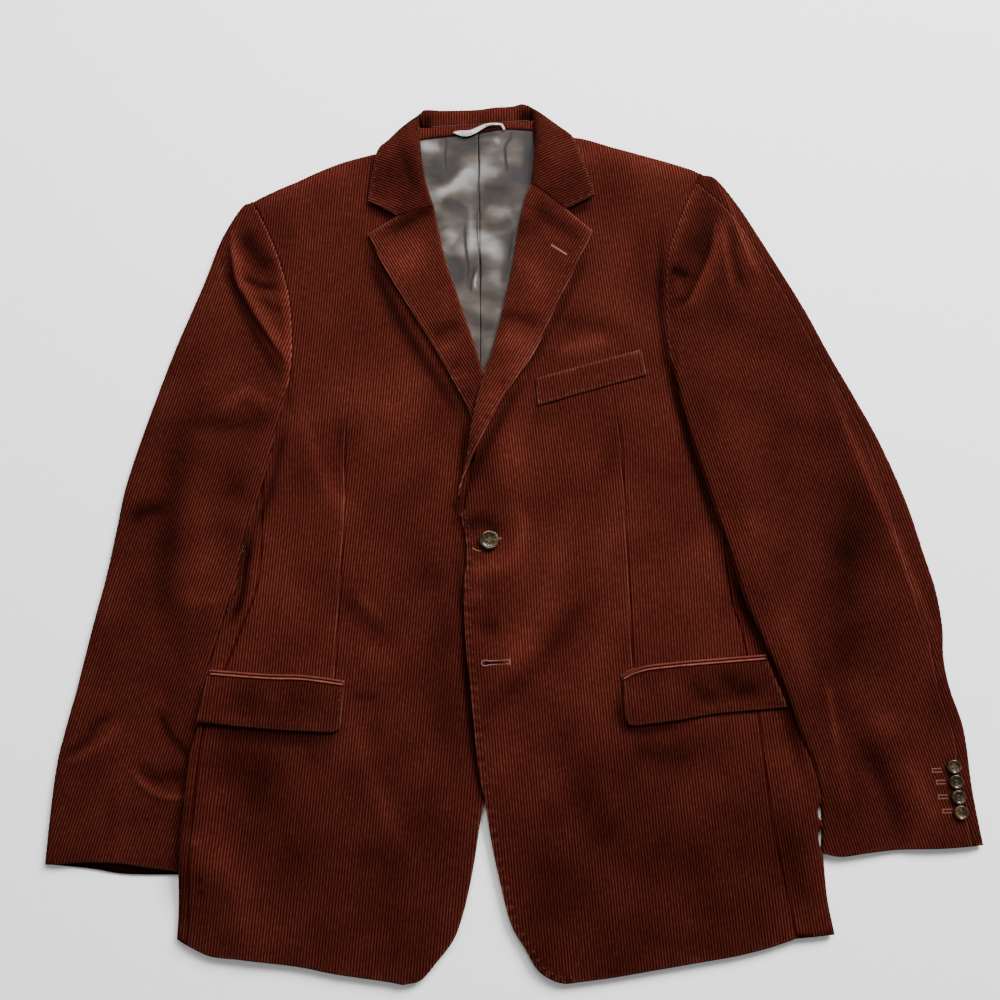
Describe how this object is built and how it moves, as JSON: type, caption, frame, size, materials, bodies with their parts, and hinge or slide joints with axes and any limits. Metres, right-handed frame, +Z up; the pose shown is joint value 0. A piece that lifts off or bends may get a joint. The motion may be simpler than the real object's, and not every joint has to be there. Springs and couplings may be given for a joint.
{
  "type": "two-button single-breasted jacket laid flat",
  "caption": "Men's corduroy blazer laid flat on its back and buttoned: notch lapels, welt and flap pockets, two-piece sleeves, kissing cuff buttons.",
  "frame": {"origin": "on the surface the jacket lies on, under the middle of its box", "axes": "+X towards the wearer's left sleeve, +Y from hem to neck, +Z up from the surface; the jacket lies on its back"},
  "size_m": [0.851, 0.8464, 0.0241],
  "materials": {
    "corduroy": "rust-brown wide-wale cotton corduroy, matt with a soft nap",
    "lining": "smooth taupe-grey satin lining",
    "loop": "silver-grey woven ribbon",
    "button": "polished horn-like resin, dark olive and beige"
  },
  "bodies": {
    "root": {"back_right": "corduroy", "back_left": "corduroy", "back_lining_right": "lining", "back_lining_left": "lining", "back_neck_facing": "corduroy", "hanger_loop": "loop", "front_right": "corduroy", "front_left": "corduroy", "side_right": "corduroy", "side_left": "corduroy", "pocket_jet_right": "corduroy", "pocket_jet_left": "corduroy", "pocket_flap_right": "corduroy", "pocket_flap_left": "corduroy", "lapel_right": "corduroy", "lapel_left": "corduroy", "chest_pocket_welt": "corduroy", "under_button": "button", "front_button": "button", "collar": "corduroy", "top_sleeve_right": "corduroy", "top_sleeve_left": "corduroy", "under_sleeve_right": "corduroy", "under_sleeve_left": "corduroy", "cuff_button_left_1": "button", "cuff_button_left_2": "button", "cuff_button_left_3": "button", "cuff_button_left_4": "button"}
  },
  "joints": []
}
